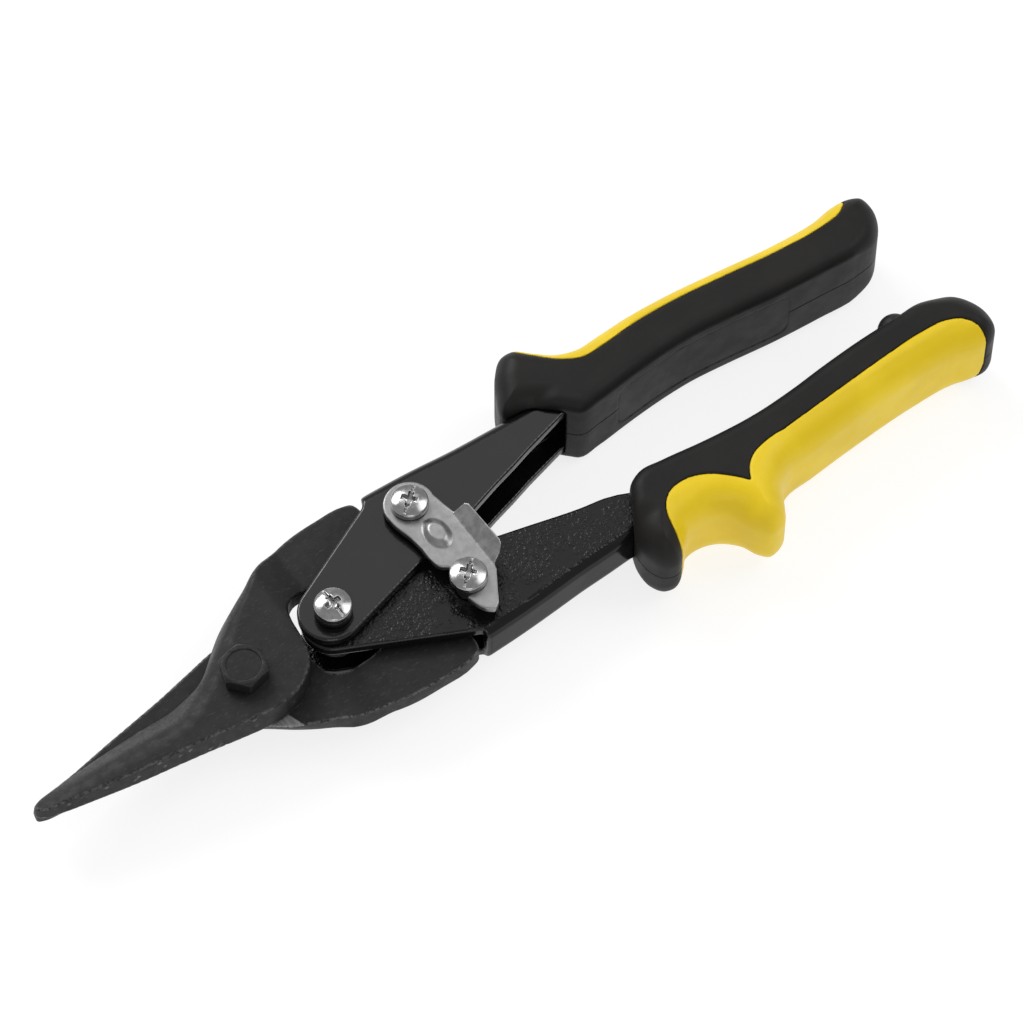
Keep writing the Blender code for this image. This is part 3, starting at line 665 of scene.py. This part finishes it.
def right_handle_outline():
    ear = [(x, y, 0) for x, y in arc((-0.5, -0.6), EAR_RADIUS, 76, 243, 48)]
    outer = [(26.2, -22.2, 0.8), (26.4, -24.2, 1.0)]
    web = [(x, y, 0) for x, y in RIGHT_WEB_LINE if 28.0 < x <= TANG_END]
    inner = [(TANG_END, -17.2, 1.0), (125.0, -17.4, 30), (100.0, -17.0, 30), (86.0, -15.6, 30),
             (78.0, -14.0, 30), (72.0, -10.8, 30), (68.0, -9.8, 30), (63.0, -9.1, 60), (56.4, -7.4, 60),
             (49.6, -5.6, 60), (42.9, -3.9, 60), (24.0, 0.7, 30)]
    return fillet(ear + outer + web + inner)


class Channel:
    """A handle of folded sheet: two flanges and a web. Side is 1 where the web is at +y, -1 at -y."""

    def __init__(self, outline, line, side, half, web_start, pin):
        self.plan = Plan(outline)
        self.line = np.array(line).T
        self.side, self.half, self.web_start, self.pin = side, half, web_start, pin

    def web(self, x, y):
        return (y - np.interp(x, *self.line)) * self.side

    def outside(self, x, y, z):
        """The handle as a full block, its web edges bent to a radius."""
        return meet(meet(self.web(x, y), np.abs(z) - self.half, OUTER_BEND), self.plan(x, y), CUT_EDGE)

    def __call__(self, x, y, z):
        hollow = np.minimum(x - self.web_start, self.web(x, y) + SHEET)
        inside = meet(hollow, np.abs(z) - self.half + SHEET, INNER_BEND)
        shape = cut(self.outside(x, y, z), inside, 0.3)
        shape = cut(shape, column(x, y, (0, 0), PIN_HOLE), 0.25)
        return cut(shape, column(x, y, self.pin, PIN_HOLE), 0.25)


LEFT_CHANNEL = Channel(left_handle_outline(), LEFT_WEB_LINE, 1, LEFT_HALF, LEFT_WEB_START, LEFT_PIN)
RIGHT_CHANNEL = Channel(right_handle_outline(), RIGHT_WEB_LINE, -1, RIGHT_HALF, RIGHT_WEB_START, RIGHT_PIN)


def handles():
    """The two channels, on a coarser grid along the tangs, which are hidden in the grips."""
    step, tang_step = 0.34, 0.9
    along = stations((-9.0, step), (78.0, tang_step), (TANG_END + 1.5, tang_step))
    axes = (along, span(-7.8, 22.4, step), span(-LEFT_HALF, LEFT_HALF, step))
    solid("left_handle_channel", LEFT_CHANNEL, axes, PAINT_LEFT,
          "left_side", "left_handle")
    axes = (along, span(-24.8, 7.8, step), span(-RIGHT_HALF, RIGHT_HALF, step))
    solid("right_handle_channel", RIGHT_CHANNEL, axes, PAINT_RIGHT,
          "right_side", "right_handle")


# Grips

PANEL_LENGTH = (88.0, 136.5)
PANEL_HEIGHT = (-7.6, 7.6)
AREA_MARGIN = 60.0   # the areas are read well beyond their own outlines
AREA_STEP = 0.3
SEAM = 0.07   # half the gap between two colours
LINE_HALF = 0.20   # half the width of the line round the panel
PARTING_HALF = 0.17   # and of the mould's parting line
TANG_GAP = 0.2   # round the part of a handle that's inside its grip


def left_grip_outline():
    inner = [(76.4, 9.9), (82.3, 9.9), (90.6, 10.7), (100.1, 11.4), (110.5, 11.5), (119.9, 10.6)]
    inner += [(132.8, 9.0), (145.9, 8.0)]
    end = [(156.5, 7.5), (161.6, 8.5), (165.2, 12.0), (166.8, 16.6), (166.2, 20.2), (163.4, 21.9)]
    outer = [(159.5, 22.4), (152.2, 21.5), (140.6, 21.9), (126.2, 23.6), (111.9, 25.2), (100.4, 25.7)]
    flare = [(91.5, 25.4), (86.0, 25.3), (81.3, 27.0), (77.2, 30.4), (73.6, 33.5), (70.1, 33.6), (67.0, 31.0)]
    front = [(63.6, 25.8), (61.8, 20.6), (66.4, 18.4), (71.5, 14.8), (74.6, 11.6)]
    return curve(inner + end + outer + flare + front, steps=5)


def right_grip_outline():
    inner = [(74.6, -12.4), (78.4, -10.7), (84.0, -11.2), (95.8, -12.8), (109.9, -13.8), (120.0, -13.4)]
    inner += [(129.9, -12.5), (141.6, -11.8), (152.0, -11.7), (161.0, -11.7), (167.2, -13.4)]
    end = [(170.4, -17.6), (171.6, -22.0), (170.7, -26.3), (168.0, -28.2), (164.0, -27.9), (159.1, -26.7)]
    outer = [(148.5, -26.2), (132.1, -26.8), (116.5, -28.0), (108.4, -28.8), (104.6, -31.2), (102.3, -35.2)]
    lobe = [(99.3, -39.1), (95.6, -39.75), (93.0, -37.1), (91.3, -33.2), (88.4, -29.7), (83.7, -28.0)]
    guard = [(79.0, -28.6), (76.2, -31.4), (73.0, -33.6), (69.9, -32.6), (68.0, -28.8), (68.2, -23.6)]
    return curve(inner + end + outer + lobe + guard + [(71.5, -17.6)], steps=5)


def left_strip_area():
    """The yellow strip's inner edge, then points outside the grip."""
    inside = [(73.6, 31.6), (76.6, 28.0), (80.3, 23.9), (84.6, 21.1), (90.5, 20.9), (100.0, 21.6)]
    inside += [(111.9, 21.3), (126.0, 19.8), (140.0, 18.1), (152.0, 17.5), (158.6, 18.5), (161.0, 20.3)]
    return curve(inside, closed=False) + [(162.0, 30.0), (120.0, 34.0), (78.0, 38.0), (72.0, 36.0)]


def right_pad_area():
    """The yellow pad's inner edge in two curves that meet in a cusp, then points outside the grip."""
    front = curve([(74.6, -42.0), (75.0, -34.0), (75.5, -28.6), (76.8, -23.2), (79.8, -20.3), (84.6, -19.6),
                   (90.0, -21.5), (94.3, -25.2), (97.0, -28.4)], closed=False)
    back = curve([(97.2, -28.4), (98.8, -25.7), (101.5, -23.4), (105.7, -22.2), (112.0, -21.9),
                  (128.0, -20.8), (143.0, -19.8), (153.5, -19.5), (160.4, -20.3), (164.6, -22.8),
                  (166.4, -26.0), (166.6, -28.2), (164.9, -31.0)], closed=False)
    return front + back + [(160.0, -36.0), (120.0, -48.0)]


LEFT_GRIP = Plan(left_grip_outline())
RIGHT_GRIP = Plan(right_grip_outline())
STRIP_AREA = Plan(left_strip_area(), AREA_MARGIN, AREA_STEP)
PAD_AREA = Plan(right_pad_area(), AREA_MARGIN, AREA_STEP)


def left_grip(x, y, z):
    """Both colours of the left grip, with the sunk panel in its inner face and the mould's parting line."""
    edge = 2.9 + 2.8 * np.maximum(rise(y, 15.0, 19.0), rise(x, 154.0, 164.0))
    shape = meet(LEFT_GRIP(x, y), np.abs(z) - GRIP_HALF, edge)
    panel = meet(layer(x, *PANEL_LENGTH), layer(z, *PANEL_HEIGHT), 2.6)
    on_face = rise(y, 16.0, 14.0)
    line = np.maximum(LINE_HALF - np.abs(panel), 0) * on_face
    parting = np.maximum(PARTING_HALF - np.abs(z), 0) * (1 - on_face * (panel < 0)) * (STRIP_AREA(x, y) > 0)
    sunk = 0.12 * rise(-panel, 0.0, 0.25) * on_face
    shape = shape + sunk + 1.4 * line + 1.2 * parting
    return cut(shape, LEFT_CHANNEL.outside(x, y, z) - TANG_GAP, 0.35)


def right_grip(x, y, z):
    """Both colours of the right grip, with the mould's parting line in the black one."""
    edge = 3.4 + 3.9 * np.maximum(rise(-y, 17.5, 23.0), rise(x, 156.0, 167.0)) + 1.4 * rise(-y, 28.0, 34.0)
    shape = meet(RIGHT_GRIP(x, y), np.abs(z) - GRIP_HALF, edge)
    shape = shape + 1.2 * np.maximum(PARTING_HALF - np.abs(z), 0) * (PAD_AREA(x, y) > 0)
    return cut(shape, RIGHT_CHANNEL.outside(x, y, z) - TANG_GAP, 0.35)


def strip_edge(x, y, z):
    return STRIP_AREA(x, y)


def pad_edge(x, y, z):
    """The pad's area. Its far end is rounded off towards the underside."""
    return PAD_AREA(x, y) + 2.2 * rise(-z, 1.0, 12.0) * rise(x, 156.0, 164.0)


def outside_area(grip, area, x, y, z):
    """The colour of a grip that lies round an area."""
    return cut(grip(x, y, z), area(x, y, z) - SEAM, 0.12)


def inside_area(grip, area, x, y, z):
    """The colour of a grip that fills an area."""
    return meet(grip(x, y, z), area(x, y, z) + SEAM, 0.12)


def grips():
    step = 0.36
    high = stations((-GRIP_HALF - 0.8, 0.38), (-0.55, 0.11), (0.55, 0.38), (GRIP_HALF + 0.8, 0.38))
    axes = (span(61.4, 168.8, 0.42), span(6.8, 34.8, 0.38), high)
    solid("left_grip_moulding", partial(outside_area, left_grip, strip_edge), axes, BLACK,
          "left_side", "left_grip_body")
    axes = (span(70.0, 162.0, step), span(17.0, 34.8, step), high)
    solid("left_grip_inlay", partial(inside_area, left_grip, strip_edge), axes, YELLOW,
          "left_side", "left_grip_strip")
    axes = (span(67.0, 173.6, step), span(-36.0, -10.0, step), high)
    solid("right_grip_moulding", partial(outside_area, right_grip, pad_edge), axes, BLACK,
          "right_side", "right_grip_body")
    axes = (span(74.0, 167.6, step), span(-40.6, -18.0, step), high)
    solid("right_grip_inlay", partial(inside_area, right_grip, pad_edge), axes, YELLOW,
          "right_side", "right_grip_pad")


def bumper():
    """The rubber button on the right grip's inner side: a stem along y with a domed end."""
    node = "stop_bumper"
    hub = centre(node)[0], sum(heights(node)) / 2
    end = (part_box(node)[1].y - ORIGIN.y) / MM
    dome_radius, stem_radius, length, reach, step = 4.2, 3.9, 5.0, 4, 0.2

    def field(x, y, z):
        across = np.hypot(x - hub[0], z - hub[1])
        dome = np.hypot(across, y - end + dome_radius) - dome_radius
        stem = meet(across - stem_radius, -(y - end + length), 0.1)
        return meet(stem, dome, 0.3)

    wide, tall = grid_round(hub, reach, step)
    axes = (wide, span(end - length, end, step), tall)
    solid("bumper_button", field, axes, RUBBER, "right_side", node)


# Fasteners

M5 = (2.5, 0.8)   # thread radius and pitch
M6 = (3.0, 1.0)
THREAD_DEPTH = 0.32   # of the pitch

HEAD_HEIGHT = 2.8
HEAD_RADIUS = 4.45
HEAD_DOME = 9.0
SLOT_HALF = 0.3
SLOT_DEPTH = 0.95
CROSS_HALF = 0.52
CROSS_REACH = 1.95
CROSS_DEPTH = 1.75
WELL_RADIUS = 0.95


def swing(x, y, hub, degrees):
    """Coordinates about a hub, turned by an angle."""
    angle = np.radians(degrees)
    u, v = x - hub[0], y - hub[1]
    return u * np.cos(angle) + v * np.sin(angle), -u * np.sin(angle) + v * np.cos(angle)


def thread(x, y, z, hub, size, low, length):
    """A screw thread up from a level, with a plain shank above it."""
    radius, pitch = size
    u, v = x - hub[0], y - hub[1]
    phase = z / pitch - np.arctan2(v, u) / (2 * math.pi)
    tooth = np.abs((phase % 1.0) * 2 - 1)
    flank = np.hypot(u, v) - radius + THREAD_DEPTH * pitch * tooth * (z < low + length)
    return meet(flank, layer(z, low, low + length + 40), 0.25)


def screw(name, node, hub, slot_angle, body):
    """A pan head screw with a cross recess and a slot, its thread ending at the node's lower side."""
    low_end, top = heights(node)
    head_low = top - HEAD_HEIGHT

    def field(x, y, z):
        u, v = swing(x, y, hub, slot_angle)
        around = np.hypot(u, v)
        dome = np.sqrt(around ** 2 + (z - top + HEAD_DOME) ** 2) - HEAD_DOME
        head = meet(meet(around - HEAD_RADIUS, dome, 0.35), head_low - z, 0.2)
        slot = meet(np.abs(v) - SLOT_HALF, top - SLOT_DEPTH - z)
        depth = top - CROSS_DEPTH - z
        wing = CROSS_HALF + 0.18 * (z - top + 1.0)
        cross = np.minimum(meet(np.abs(v) - wing, np.abs(u) - CROSS_REACH),
                           meet(np.abs(u) - wing, np.abs(v) - CROSS_REACH))
        well = np.minimum(cross, around - WELL_RADIUS)
        head = cut(head, meet(well, depth + 0.45 * np.maximum(around - 0.6, 0)), 0.1)
        head = cut(head, slot, 0.07)
        shank = meet(thread(x, y, z, hub, M5, low_end, 4.4), z - head_low - 0.5)
        return join(head, shank, 0.05)

    high = stations((low_end - 0.3, 0.2), (low_end + 4.6, 0.5), (head_low - 0.4, 0.12), (top + 0.3, 0.12))
    solid(name, field, (*grid_round(hub, 4.7, 0.13), high), ZINC_HEAD, body, node)


def hex_distance(u, v, flats):
    best = np.abs(v) - flats / 2
    for k in (1, 2):
        c, s = math.cos(math.pi * k / 3), math.sin(math.pi * k / 3)
        best = np.maximum(best, np.abs(v * c + u * s) - flats / 2)
    return best


def chamfer(around, rim, height):
    """A cone at 30 degrees that takes the corners off a hexagon beyond a rim radius."""
    return (around - rim) * 0.5 + height * 0.866


def hex_nut(name, node, hub, flats, bore, turn, body, slot, look):
    low, high = heights(node)
    step = 0.17

    def field(x, y, z):
        u, v = swing(x, y, hub, turn)
        around = np.hypot(u, v)
        slab = layer(z, low, high)
        shape = meet(hex_distance(u, v, flats), slab, 0.12)
        shape = meet(shape, chamfer(around, flats * 0.49, slab), 0.1)
        return cut(shape, around - bore, 0.3)

    axes = (*grid_round(hub, flats * 0.6, step), span(low, high, step))
    solid(name, field, axes, look, body, node)


def ring(name, node, hub, outer, inner, body, slot, look, round_off=0.15, step=0.18, split=False):
    """A washer, spacer or sleeve between two radii. A split one is cut through on a slant."""
    low, high = heights(node)

    def field(x, y, z):
        wall = layer(np.hypot(x - hub[0], y - hub[1]), inner, outer)
        shape = meet(wall, layer(z, low, high), round_off)
        if split:
            u, v = swing(x, y, hub, -58 + 18 * (z - low))
            shape = cut(shape, meet(np.abs(v) - 0.35, -u), 0.05)
        return shape

    axes = (*grid_round(hub, outer + 0.3, step), span(low, high, step))
    solid(name, field, axes, look, body, node)


def jaw_bolt():
    """The hexagon head bolt, its head a little lower than the CAD one, with a shallow dish in the top."""
    low_end, cad_top = heights("jaw_bolt")
    head_low = cad_top - 4.0
    top = cad_top - 0.5

    def field(x, y, z):
        u, v = swing(x, y, JAW_PIVOT, 12)
        around = np.hypot(u, v)
        head = meet(hex_distance(u, v, 10.2), layer(z, head_low, top), 0.1)
        head = meet(head, chamfer(around, 4.95, z - top), 0.08)
        head = cut(head, meet(around - 4.1, top - 0.3 - z), 0.1)
        shank = meet(thread(x, y, z, JAW_PIVOT, M6, low_end, 5.0), z - head_low - 0.5)
        return join(head, shank, 0.05)

    high = stations((low_end - 0.3, 0.22), (low_end + 5.2, 0.5), (head_low - 0.4, 0.15), (top + 0.3, 0.15))
    axes = (*grid_round(JAW_PIVOT, 6.3, 0.16), high)
    solid("jaw_bolt_forged", field, axes, BOLT, "upper_blade", "jaw_bolt")


def spring():
    """The torsion spring's wire: close coils round the bush and a leg to each handle."""
    wire_radius, coil_radius, turns, turn_steps = 0.5, 5.1, 5, 40
    low, high = heights("return_spring")
    half = (high - low) / 2 - wire_radius
    points = [(5.3, -8.0, half), (5.25, -4.0, half)]
    steps = turns * turn_steps
    for k in range(steps + 1):
        angle = 2 * math.pi * k / turn_steps
        level = half * (1 - 2 * k / steps)
        points.append((coil_radius * math.cos(angle), coil_radius * math.sin(angle), level))
    points += [(5.25, 4.0, -half), (5.3, 8.0, -half)]
    wire = bpy.data.curves.new("spring_wire", "CURVE")
    wire.dimensions = "3D"
    wire.bevel_depth = wire_radius * MM
    wire.bevel_resolution = 4
    wire.use_fill_caps = True
    spline = wire.splines.new("POLY")
    spline.points.add(len(points) - 1)
    for point, where in zip(spline.points, points):
        point.co = (*place(where), 1)
    wire.materials.append(SPRING)
    obj = bpy.data.objects.new("torsion_spring_wire", wire)
    bpy.context.scene.collection.objects.link(obj)
    assign(obj, "left_side", "return_spring")


def fasteners():
    screw("pivot_screw_head", "handle_pivot_screw", (0, 0), -87, "left_side")
    screw("left_screw_head", "left_pin_screw", LEFT_PIN, 38, "left_side")
    screw("right_screw_head", "right_pin_screw", RIGHT_PIN, 42, "right_side")
    jaw_bolt()
    forged = ("upper_blade", "forged_jaw", BOLT)
    left = ("left_side", "dark_fastener", DARK_METAL)
    right = ("right_side", "dark_fastener", DARK_METAL)
    hex_nut("jaw_lock_nut", "jaw_nut", JAW_PIVOT, 10.0, 2.95, 12, *forged)
    ring("jaw_lock_washer", "jaw_spring_washer", JAW_PIVOT, 5.2, 3.3, *forged, split=True)
    hex_nut("pivot_nut", "handle_pivot_nut", (0, 0), 8.0, 2.45, 20, *left)
    hex_nut("left_nut", "left_pin_nut", LEFT_PIN, 8.0, 2.45, 5, *left)
    hex_nut("right_nut", "right_pin_nut", RIGHT_PIN, 8.0, 2.45, 40, *right)
    ring("pivot_washer", "handle_pivot_washer", (0, 0), 4.4, 2.8, *left)
    ring("pivot_bush", "handle_pivot_bush", (0, 0), 3.9, 2.8, *left)
    ring("latch_collar", "right_pin_collar", RIGHT_PIN, 2.9, 2.65, "right_side", "zinc_plate", ZINC_HEAD,
         round_off=0.05, step=0.14)
    for level in ("upper", "lower"):
        ring(f"left_spacer_{level}", f"left_pin_spacer_{level}", LEFT_PIN, 5.0, 2.8, *left)
    for level in ("upper", "lower"):
        ring(f"right_spacer_{level}", f"right_pin_spacer_{level}", RIGHT_PIN, 5.0, 2.8, *right)


# Latch

LATCH_SHEET = 1.75
LATCH_HOLE = 2.8
TAB_BEND = 36.0   # x of the line where the thumb tab turns up
TAB_SLOPE = math.tan(math.radians(32.0))
PIP_CENTRE = (30.2, 1.8)
PIP_RADII = (2.9, 4.2)


def latch_outline():
    eye = arc(LEFT_PIN, 6.1, -8, 186, 20)
    left = [(23.5, 8.6), (24.4, 4.8), (24.95, 0.6), (25.0, -3.2), (25.6, -5.6), (27.2, -6.9)]
    upper = curve(eye + left, closed=False, steps=4)
    notch = arc(RIGHT_PIN, 3.35, 105, -85, 16)
    hook = [(26.3, -15.9), (26.7, -18.0), (28.5, -21.2), (29.6, -21.9), (30.8, -21.4), (33.2, -18.0)]
    hook += [(36.0, -13.6)]
    tab = [(36.3, -12.2), (38.4, -11.2), (39.8, -9.9), (40.2, -8.8), (39.9, 3.0), (39.3, 3.9), (36.5, 4.2)]
    return upper + notch + curve(hook, closed=False) + tab


def latch():
    """The pressed latch: a flat plate with a raised oval pip and a tab bent up."""
    low, high = heights("latch_plate")
    plan = Plan(latch_outline(), 4.0, 0.1)

    def field(x, y, z):
        past = (np.sqrt((x - TAB_BEND) ** 2 + 0.04) + (x - TAB_BEND)) / 2
        oval = np.hypot((x - PIP_CENTRE[0]) / PIP_RADII[0], (y - PIP_CENTRE[1]) / PIP_RADII[1])
        pip = 1.05 * rise(1.12 - oval, 0.0, 0.62)
        level = z - low - LATCH_SHEET / 2 - past * TAB_SLOPE - pip
        shape = meet(plan(x, y), np.abs(level) - LATCH_SHEET / 2, 0.28)
        return cut(shape, column(x, y, LEFT_PIN, LATCH_HOLE), 0.2)

    axes = (span(22.4, 40.8, 0.17), span(-22.2, 18.4, 0.17), span(low, high, 0.14))
    solid("latch_stamping", field, axes, ZINC_PLATE, "latch", "latch_plate")


# Stage

FLOOR_REACH = 3.0
CAMERA_AZIMUTH = math.radians(-35.4)
CAMERA_ELEVATION = math.radians(60.0)
CAMERA_DISTANCE = 1.25
CAMERA_SHIFT = (0.04068, 0.02114)   # to the right and up, in metres
CAMERA_TARGET_HEIGHT = 12.3   # millimetres over the shear plane, at the handle pivot


def softbox(name, where, size, power):
    """A rectangular lamp that faces the middle of the tool."""
    lamp = bpy.data.lights.new(name, "AREA")
    lamp.shape = "RECTANGLE"
    lamp.size, lamp.size_y = size
    lamp.energy = power
    obj = bpy.data.objects.new(name, lamp)
    obj.location = where
    obj.rotation_mode = "QUATERNION"
    obj.rotation_quaternion = (-Vector(where)).to_track_quat("-Z", "Y")
    bpy.context.scene.collection.objects.link(obj)


def floor():
    mesh = bpy.data.meshes.new("floor")
    corners = [(x * FLOOR_REACH, y * FLOOR_REACH, 0) for x, y in ((-1, -1), (1, -1), (1, 1), (-1, 1))]
    mesh.from_pydata(corners, [], [(0, 1, 2, 3)])
    obj = bpy.data.objects.new("floor", mesh)
    obj.location.z = CAD_BOX[0].z - 0.2 * MM
    bpy.context.scene.collection.objects.link(obj)
    n = Nodes("pale_floor")
    tone = n.mix(n.noise(40.0, 3), grey(0.22), grey(0.24))
    n.put(n.shader.inputs["Emission Color"], (1, 1, 1, 1))
    n.put(n.shader.inputs["Emission Strength"], 0.8)
    mesh.materials.append(n.finish(tone, n.remap(n.noise(25.0, 3), 0.3, 0.7, 0.75, 0.85)))


def camera():
    lens = bpy.data.cameras.new("camera")
    lens.lens = 193.36
    lens.sensor_width = 36.0
    obj = bpy.data.objects.new("camera", lens)
    bpy.context.scene.collection.objects.link(obj)
    east, north = math.cos(CAMERA_AZIMUTH), math.sin(CAMERA_AZIMUTH)
    flat = math.cos(CAMERA_ELEVATION)
    back = Vector((north * flat, -east * flat, math.sin(CAMERA_ELEVATION)))
    right = Vector((east, north, 0))
    up = back.cross(right)
    target = place((0, 0, CAMERA_TARGET_HEIGHT))
    obj.location = target + right * CAMERA_SHIFT[0] + up * CAMERA_SHIFT[1] + back * CAMERA_DISTANCE
    obj.rotation_mode = "QUATERNION"
    obj.rotation_quaternion = (-back).to_track_quat("-Z", "Y")
    bpy.context.scene.camera = obj


def stage():
    scene = bpy.context.scene
    scene.view_settings.view_transform = "Standard"
    world = bpy.data.worlds.new("studio")
    world.use_nodes = True
    background = world.node_tree.nodes["Background"].inputs
    background["Color"].default_value = (1, 1, 1, 1)
    background["Strength"].default_value = 0.45
    scene.world = world
    floor()
    softbox("key", (-0.15, 1.2, 1.05), (0.9, 0.7), 12.0)
    softbox("fill", (0.9, -0.3, 1.1), (0.8, 0.8), 5.0)
    softbox("front", (-0.6, -1.0, 0.8), (0.6, 0.5), 2.5)
    softbox("overhead", (0.40, 0.55, 1.17), (1.0, 0.8), 1.6)
    camera()


stage()
jaws()
handles()
grips()
bumper()
fasteners()
spring()
latch()

bpy.context.view_layer.update()
